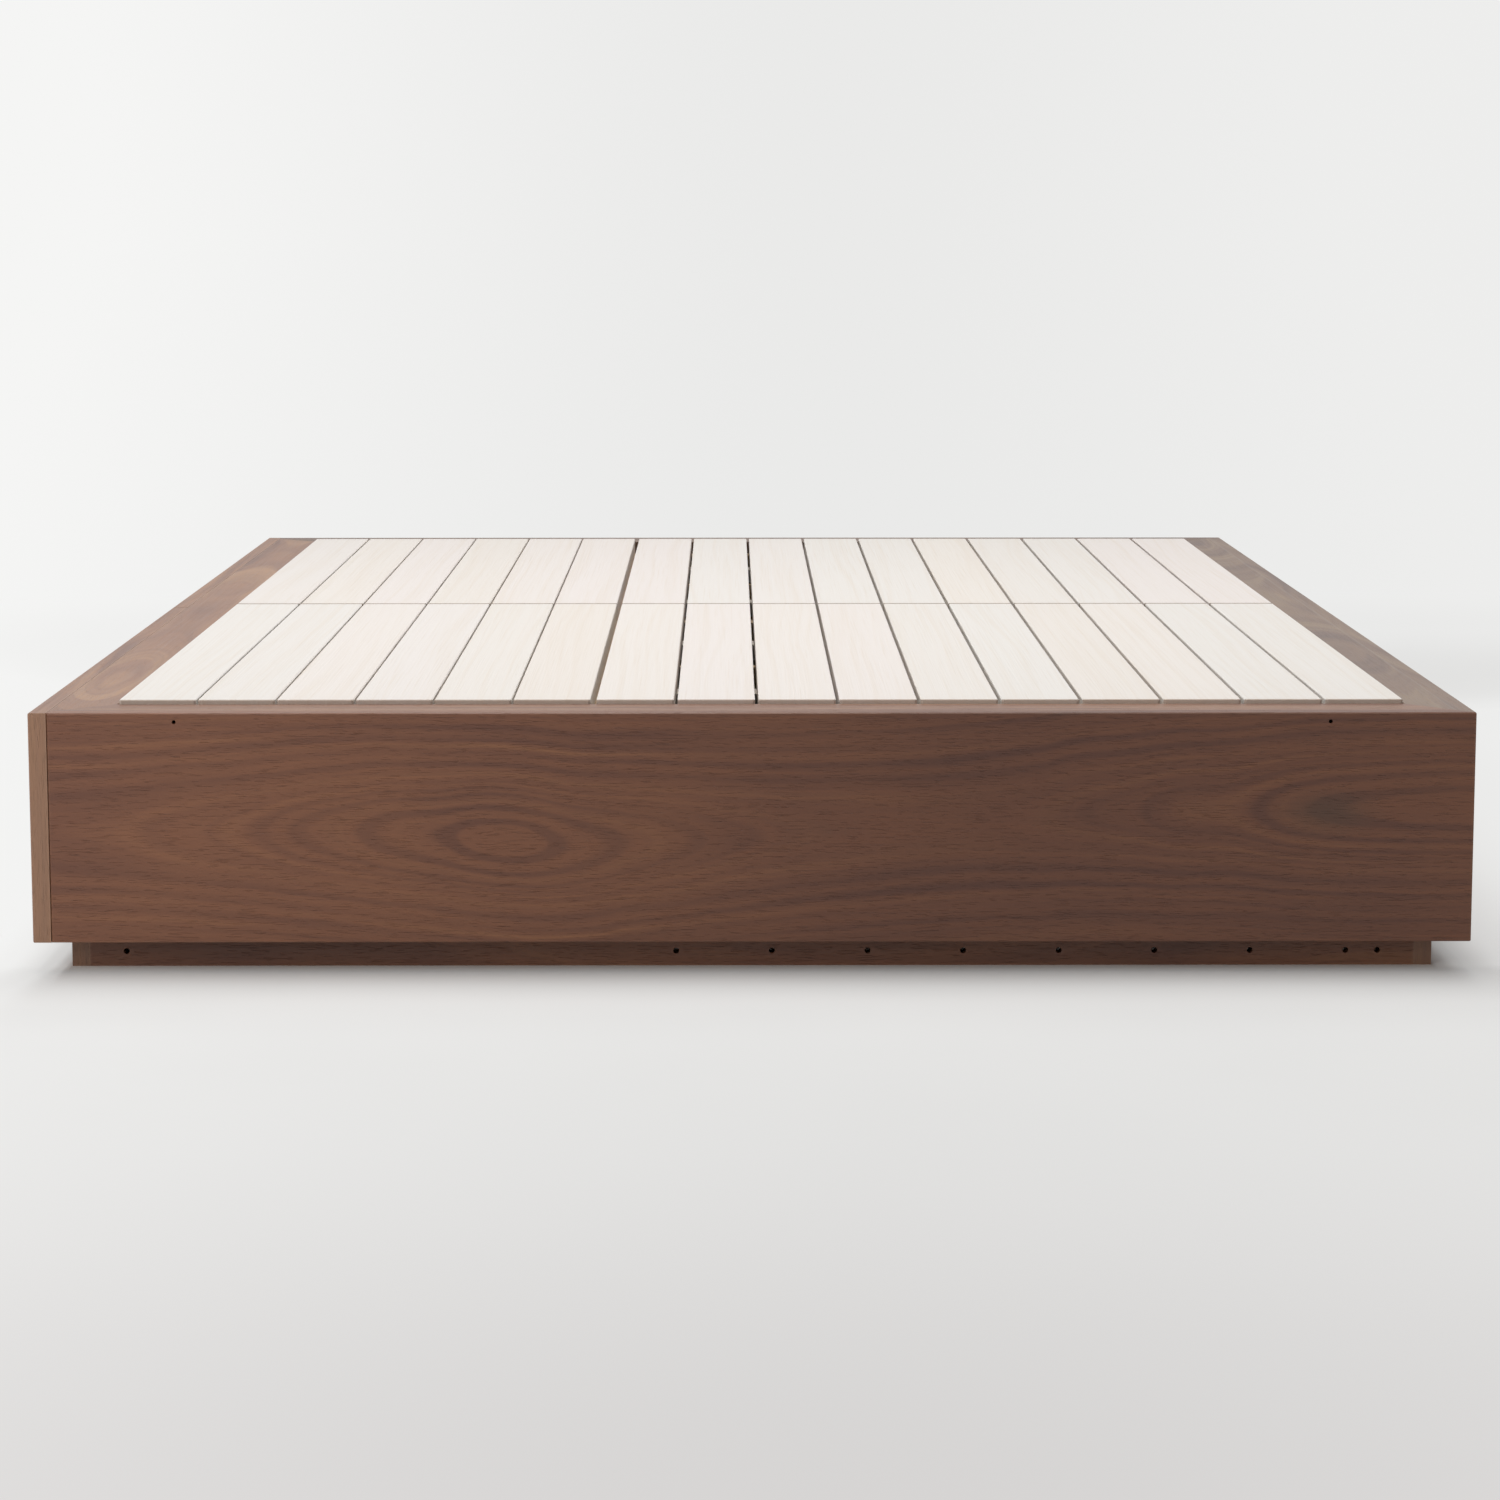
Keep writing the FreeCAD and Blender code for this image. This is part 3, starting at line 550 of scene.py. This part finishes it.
SLAT_TINTS = (
    (0.0, srgb(239, 232, 224)),
    (0.35, srgb(239, 231, 226)),
    (0.65, srgb(237, 232, 226)),
    (1.0, srgb(238, 229, 220)),
)
SLAT_RING = srgb(224, 207, 186)
SLAT_STREAK = srgb(218, 202, 180)
SLAT_RING_SHADE = (0.42, 0.75, 0.0, 0.20)
SLAT_STREAK_SHADE = (0.5, 0.8, 0.0, 0.22)
# Tint of the end faces: darker end grain together with painted shade, as the ends face away
# from the light; and a second tint, all painted shade, on the ends that meet at mid-length, in
# the joint between the two rows.
SLAT_END_GRAIN_SHADE = (0.74, 0.66, 0.60, 1.0)
SLAT_JOINT_SHADE = (0.55, 0.52, 0.49, 1.0)
SLAT_END_SHADE_FACING = (0.1, 0.7)
SLAT_JOINT_SHADE_REACH = 0.01

SLAT_SWAY = Layer(1.1, 6, detail=1.0)
SLAT_SWAY_REACH = 0.05
SLAT_STREAKS = Layer(5, 500, detail=3.0)
SLAT_RINGS = Rings(120, 0.8)
# Each slat draws a tint, a cut through the rings, and a shift of its grain up to so many metres.
SLAT_SHIFT = 9.0
# Where the plane of these draws lies in the noise.
SLAT_DRAW = 0.5
SLAT_ROUGHNESS = (0.2, 0.5)
SLAT_RELIEF = 0.0003
SLAT_RING_HEIGHT = 0.6

# Slats side by side in a unit, and the gap between them.
LEFT_SLATS, LEFT_GAP = 6, 0.002
RIGHT_SLATS, RIGHT_GAP = 10, 0.0036


def pale_slats(node, count, gap, seed):
    """Planed pale boards, each with a tint of its own, and darker end faces: end grain plus painted
    shade, deepest at the joint between the two rows.
    """
    wood = Board("slats", node, "yxz", seed)
    x, y, _ = wood.place
    low, high = wood.low[0], wood.high[0]
    pitch = (high - low + gap) / count
    number = wood.math("FLOOR", wood.scaled(x, 1 / pitch, (gap / 2 - low) / pitch))
    draw = wood.node("TexWhiteNoise", {"Vector": wood.vector(number, seed, SLAT_DRAW)})
    shift, tint, cut = wood.parts(draw.outputs["Color"])
    wood.u = wood.add(wood.u, wood.scaled(shift, SLAT_SHIFT))
    sway = wood.scaled(wood.fibre(SLAT_SWAY), SLAT_SWAY_REACH)
    rings = wood.rings(wood.add(wood.v, sway), SLAT_RINGS, cut)
    streak = wood.fibre(SLAT_STREAKS)

    colour = wood.ramp(tint, SLAT_TINTS)
    colour = wood.mix(wood.span(rings, *SLAT_RING_SHADE), colour, SLAT_RING)
    colour = wood.mix(wood.span(streak, *SLAT_STREAK_SHADE), colour, SLAT_STREAK)
    # Painted shade on the end faces, over their darker end grain, and more at the mid-length joint.
    end = wood.span(wood.absolute(wood.facing[1]), *SLAT_END_SHADE_FACING)
    colour = wood.tinted(colour, SLAT_END_GRAIN_SHADE, end)
    joint_shade_mask = wood.math("LESS_THAN", wood.absolute(y), SLAT_JOINT_SHADE_REACH)
    colour = wood.tinted(colour, SLAT_JOINT_SHADE, wood.multiply(end, joint_shade_mask))
    height = wood.add(streak, wood.scaled(rings, SLAT_RING_HEIGHT))
    wood.coat(colour, wood.scaled(streak, *SLAT_ROUGHNESS), height, SLAT_RELIEF)


for index, end_name in enumerate(("head", "foot")):
    pale_slats(f"{end_name}_left_slats", LEFT_SLATS, LEFT_GAP, seed=1.0 + index)
    pale_slats(f"{end_name}_right_slats", RIGHT_SLATS, RIGHT_GAP, seed=3.0 + index)

# Inner timbers and steel


class Timber(NamedTuple):
    """The two colours of a timber, and the waves of its rings."""

    light: tuple
    dark: tuple
    ring_waves: float


TIMBERS = {
    "frame_timber": Timber(srgb(224, 196, 154), srgb(206, 168, 120), 140),
    "runner_timber": Timber(srgb(205, 164, 122), srgb(178, 132, 92), 260),
    "drawer_board": Timber(srgb(224, 203, 172), srgb(211, 185, 150), 90),
    "inner_board": Timber(srgb(193, 168, 136), srgb(180, 153, 119), 90),
}
TIMBER_SWAY = Layer(1.6, 9, detail=1.0)
TIMBER_SWAY_REACH = 0.05
TIMBER_STREAKS = Layer(6, 520, detail=3.0)
TIMBER_RINGS_ALONG, TIMBER_RING_ROUGHNESS = 1.1, 0.6
TIMBER_LEAN = 0.7
TIMBER_DARK_TONE, TIMBER_LIGHT_TONE = 0.34, 0.62
TIMBER_STREAK_SHADE = (0.45, 0.8, 0.0, 0.35)
TIMBER_WEAR = (0.0004, 0.003, 0.22, 0.0)
TIMBER_ROUGHNESS = (0.2, 0.4)
TIMBER_RELIEF = 0.0004
FIRST_TIMBER_SEED, TIMBER_SEED_STEP = 20.0, 1.7

ZINC_TONES = ((0.35, srgb(172, 174, 176)), (0.65, srgb(206, 207, 206)))
ZINC_SPANGLE_WAVES, ZINC_SPANGLE_DETAIL = 260, 3.0
ZINC_SCRATCH_WAVES = (900, 60, 900)
ZINC_ROUGHNESS = (0.25, 0.24)
ZINC_RELIEF = 0.00004


def plain_timber(node, axes, seed, timber):
    """Straight-grown timber or plywood face with rings and fibre."""
    wood = Board("timber", node, axes, seed)
    wood.turn_end_faces()
    sway = wood.scaled(wood.fibre(TIMBER_SWAY), TIMBER_SWAY_REACH)
    field = wood.add(wood.v, wood.add(wood.scaled(wood.w, TIMBER_LEAN), sway))
    style = Rings(timber.ring_waves, TIMBER_RINGS_ALONG, roughness=TIMBER_RING_ROUGHNESS)
    rings = wood.rings(field, style, seed)
    streak = wood.fibre(TIMBER_STREAKS)

    tones = ((TIMBER_DARK_TONE, timber.dark), (TIMBER_LIGHT_TONE, timber.light))
    colour = wood.ramp(rings, tones)
    colour = wood.mix(wood.span(streak, *TIMBER_STREAK_SHADE), colour, timber.dark)
    colour = wood.mix(wood.span(wood.edge_distance(), *TIMBER_WEAR), colour, timber.light)
    height = wood.add(streak, rings)
    wood.coat(colour, wood.scaled(streak, *TIMBER_ROUGHNESS), height, TIMBER_RELIEF)


def zinc(name):
    """Zinc-plated steel with spangle and fine scratches."""
    material = bpy.data.materials.new(name)
    metal = Graph(material)
    place = metal.node("TexCoord").outputs["Object"]
    spangle = metal.noise(place, ZINC_SPANGLE_WAVES, ZINC_SPANGLE_DETAIL)
    stretched = metal.node("Mapping", {"Vector": place, "Scale": ZINC_SCRATCH_WAVES})
    height = metal.add(spangle, metal.noise(stretched.outputs[0]))
    colour = metal.ramp(spangle, ZINC_TONES)
    roughness = metal.scaled(spangle, *ZINC_ROUGHNESS)
    metal.surface(colour, roughness, height, ZINC_RELIEF, metallic=1.0)
    return material


def grain_axes(node):
    """Axes of a board from its longest side to its shortest."""
    low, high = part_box(node)
    return "".join(axis for _, axis in sorted(zip(high - low, "xyz"), reverse=True))


slot_of = {part["node"]: part["material_slot"] for part in frame["record"]["subparts"]}
steel = zinc("zinc_plating")
seed = FIRST_TIMBER_SEED
for name in sorted(nodes):
    slot = slot_of.get(name)
    if slot in TIMBERS:
        plain_timber(name, grain_axes(name), seed, TIMBERS[slot])
        seed += TIMBER_SEED_STEP
    elif slot == "zinc_steel":
        give(name, steel)

# Object helpers


def add_object(name, data):
    made = bpy.data.objects.new(name, data)
    bpy.context.scene.collection.objects.link(made)
    return made


def add_mesh(name, shape, material):
    mesh = bpy.data.meshes.new(name)
    shape.to_mesh(mesh)
    shape.free()
    mesh.materials.append(material)
    return add_object(name, mesh)


def turn_towards(holder, direction):
    """Turn a lamp or camera to look along a direction."""
    holder.rotation_euler = direction.to_track_quat("-Z", "Y").to_euler()


# Bracket screws

SCREW_SIDES = 16
SCREW_ARMS = 4
# Arm radius, waist radius and height of each ring, from the seat over the head and into its
# cross recess.
SCREW_RINGS = (
    (0.0036, 0.0036, 0.0),
    (0.0036, 0.0036, 0.0007),
    (0.0030, 0.0030, 0.0016),
    (0.0020, 0.0020, 0.0019),
    (0.0018, 0.0007, 0.0019),
    (0.0011, 0.0005, 0.0008),
)
BRACKET_THICKNESS = 0.0025
# Distance of the two screws in a leg from the bracket's corner.
SCREW_REACHES = (0.013, 0.031)


def add_screw(shape, place, facing):
    """Pan head with a cross recess, seated at a place and facing along a direction."""
    turn = Vector(facing).to_track_quat("Z", "Y")
    rings = []
    for arm, waist, height in SCREW_RINGS:
        ring = []
        for step in range(SCREW_SIDES):
            angle = 2 * math.pi * step / SCREW_SIDES
            radius = arm if step % (SCREW_SIDES // SCREW_ARMS) == 0 else waist
            corner = Vector((radius * math.cos(angle), radius * math.sin(angle), height))
            ring.append(shape.verts.new(Vector(place) + turn @ corner))
        rings.append(ring)
    shape.faces.new(rings[0][::-1])
    for lower, upper in zip(rings, rings[1:]):
        for index in range(SCREW_SIDES):
            after = (index + 1) % SCREW_SIDES
            shape.faces.new((lower[index], lower[after], upper[after], upper[index]))
    shape.faces.new(rings[-1])


def make_bracket_screws():
    """Two screws through each leg of the six bearer brackets."""
    divider_low, divider_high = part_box("centre_divider")
    bracket_low, bracket_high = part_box("bearer_brackets")
    height = (bracket_low[2] + bracket_high[2]) / 2
    # X of each bracket's corner, and the way its leg runs along the bearer.
    seats = ((divider_low[0], -1), (divider_high[0], 1), (bracket_high[0], -1))
    shape = bmesh.new()
    for bearer, side in (("head_right_bearer", -1), ("foot_right_bearer", 1)):
        bearer_low, bearer_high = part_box(bearer)
        face = bearer_high[1] if side < 0 else bearer_low[1]
        for seat, away in seats:
            for reach in SCREW_REACHES:
                on_bearer = (seat + away * reach, face - side * BRACKET_THICKNESS, height)
                add_screw(shape, on_bearer, (0, -side, 0))
                on_board = (seat + away * BRACKET_THICKNESS, face - side * reach, height)
                add_screw(shape, on_board, (away, 0, 0))
    screws = add_mesh("bracket_screws", shape, steel)
    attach(screws, "frame")


make_bracket_screws()

# Floor and background

WHITE = (1.0, 1.0, 1.0, 1.0)
FLOOR_RADIUS, FLOOR_SEGMENTS = 60, 96
FLOOR_TONES = ((0.3, srgb(231, 230, 228)), (0.7, srgb(234, 233, 231)))
MOTTLE_WAVES, MOTTLE_DETAIL = 3.0, 3.0
POOL_SHADE_COLOUR = srgb(224, 222, 221)
FLOOR_FAR = srgb(245, 245, 244)
# Painted shade: the floor is a little darker in a wide oval pool before the head end.
POOL_Y, POOL_HALF_X, POOL_HALF_Y = -2.7, 2.5, 1.5
# Brightness of floor and background from left to right, over a fan that widens away from FAN_Y
# both ways; it is FAN_START * FAN_SPREAD metres to each side at FAN_Y.
SIDE_LIGHT = ((0.0, 1.0), (0.5, 0.905), (1.0, 0.93))
FAN_Y, FAN_START, FAN_SPREAD = -3.0, 4.0, 0.16
AMBIENT = 0.22
# Share of the floor's own glow, by distance from the plinth in units of GLOW_REACH metres;
# left and right of the bed the distance counts more, so the shade is narrower there,
# and GLOW_TURN says how soon this ends before the head end and behind the foot end.
GLOW_REACH, GLOW_TURN = 3.0, 10.0
GLOW_LEFT_RATE, GLOW_RIGHT_RATE = 18.0, 4.5
FLOOR_GLOW = ((0.0, 0.0), (0.01, 0.12), (0.045, 0.36), (0.12, 0.62), (0.4, 0.93), (0.6, 1.0))


def side_lit(graph, across, colour):
    """Brightness that changes from minus X to plus X, where across runs from -1 to 1."""
    factor = graph.ramp(graph.scaled(across, 0.5, 0.5), SIDE_LIGHT, "CARDINAL")
    return graph.tinted(colour, factor)


def seen_ray(graph):
    """1 on rays from the camera, in gloss and through glass, 0 on rays that only carry light."""
    path = graph.node("LightPath")
    seen = graph.larger(path.outputs["Is Camera Ray"], path.outputs["Is Glossy Ray"])
    return graph.larger(seen, path.outputs["Is Transmission Ray"])


def floor_shade(paint, x, y):
    """Colour of the floor's glow, with a painted pool of shade before the head end."""
    pool_x = paint.scaled(x, 1 / POOL_HALF_X)
    pool_y = paint.scaled(y, 1 / POOL_HALF_Y, -POOL_Y / POOL_HALF_Y)
    from_shade_pool = paint.distance(pool_x, pool_y)
    shade = paint.mix(paint.span(from_shade_pool, 0.0, 1.0), POOL_SHADE_COLOUR, FLOOR_FAR)
    from_fan = paint.absolute(paint.scaled(y, 1.0, -FAN_Y))
    spread = paint.scaled(from_fan, FAN_SPREAD, FAN_START * FAN_SPREAD)
    return side_lit(paint, paint.math("DIVIDE", x, spread), shade)


def floor_glow_share(paint, x, y):
    """Share of the glow, which leaves the floor beside the plinth in the bed's shadow."""
    _, (half_x, half_y, _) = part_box("right_plinth")
    off_left = paint.scaled(x, -GLOW_LEFT_RATE, -half_x * GLOW_LEFT_RATE)
    off_right = paint.scaled(x, GLOW_RIGHT_RATE, -half_x * GLOW_RIGHT_RATE)
    off_x = paint.larger(paint.larger(off_left, off_right), 0.0)
    off_y = paint.larger(paint.scaled(paint.absolute(y), 1.0, -half_y), 0.0)
    off_x = paint.math("DIVIDE", off_x, paint.scaled(off_y, GLOW_TURN, 1.0))
    off = paint.scaled(paint.distance(off_x, off_y), 1 / GLOW_REACH)
    return paint.multiply(paint.ramp(off, FLOOR_GLOW), seen_ray(paint))


def make_floor():
    """Matt floor whose glow for the camera keeps it pale without washing out the bed's shadow."""
    material = bpy.data.materials.new("floor_paint")
    paint = Graph(material)
    place = paint.node("TexCoord").outputs["Object"]
    x, y, _ = paint.parts(place)
    mottle = paint.noise(place, MOTTLE_WAVES, MOTTLE_DETAIL)
    matt = paint.node("BsdfDiffuse", {"Color": paint.ramp(mottle, FLOOR_TONES)})
    glow = paint.node("Emission", {"Color": floor_shade(paint, x, y)})
    share = floor_glow_share(paint, x, y)
    paint.show(paint.node("MixShader", {0: share, 1: matt.outputs[0], 2: glow.outputs[0]}))
    shape = bmesh.new()
    bmesh.ops.create_circle(shape, cap_ends=True, radius=FLOOR_RADIUS, segments=FLOOR_SEGMENTS)
    floor = add_mesh("floor", shape, material)


def make_world():
    """Pale background where it is seen, and an even soft light for everything else."""
    world = bpy.data.worlds.new("studio")
    bpy.context.scene.world = world
    sky = Graph(world)
    towards = sky.parts(sky.node("TexCoord").outputs["Generated"])
    across = sky.scaled(towards[0], 1 / FAN_SPREAD)
    shown = sky.node("Background", {"Color": side_lit(sky, across, FLOOR_FAR), "Strength": 1.0})
    ambient = sky.node("Background", {"Color": WHITE, "Strength": AMBIENT})
    blend = sky.node("MixShader", {0: seen_ray(sky), 1: ambient.outputs[0], 2: shown.outputs[0]})
    sky.show(blend, "OutputWorld")


make_floor()
make_world()

# Lamps and camera


class Softbox(NamedTuple):
    """Flat lamp: where it hangs, the place it faces, its two sides in metres and its power."""

    name: str
    place: tuple
    target: tuple
    size: tuple
    watts: float


SOFTBOXES = (
    Softbox("key_light", (-0.2, 0.05, 4.2), (0.0, 0.0, 0.2), (2.4, 2.4), 127.0),
    Softbox("front_fill", (-2.0, -4.4, 2.0), (0.1, -0.9, 0.2), (1.6, 1.6), 40.0),
    Softbox("low_left_fill", (-3.6, -0.8, 0.5), (-0.7, -0.9, 0.05), (1.4, 0.6), 20.0),
)
CAMERA_PLACE = (-0.0233, -4.8082, 0.7566)
# Degrees down from level, and to the left of square-on.
CAMERA_PITCH, CAMERA_YAW = 8.009, -0.312
# Millimetres.
CAMERA_LENS, SENSOR_WIDTH = 93.07, 36.0
CLIP_END = 200.0


def make_softbox(box):
    lamp = bpy.data.lights.new(box.name, "AREA")
    lamp.shape = "RECTANGLE"
    lamp.size, lamp.size_y = box.size
    lamp.energy = box.watts
    holder = add_object(box.name, lamp)
    holder.location = box.place
    turn_towards(holder, Vector(box.target) - Vector(box.place))


def make_camera():
    data = bpy.data.cameras.new("camera")
    data.sensor_width = SENSOR_WIDTH
    data.lens = CAMERA_LENS
    data.clip_end = CLIP_END
    camera = add_object("camera", data)
    camera.location = CAMERA_PLACE
    pitch, yaw = math.radians(CAMERA_PITCH), math.radians(CAMERA_YAW)
    level = math.cos(pitch)
    look = Vector((-math.sin(yaw) * level, math.cos(yaw) * level, -math.sin(pitch)))
    turn_towards(camera, look)
    bpy.context.scene.camera = camera


for box in SOFTBOXES:
    make_softbox(box)
make_camera()

bpy.context.scene.view_settings.view_transform = "Standard"
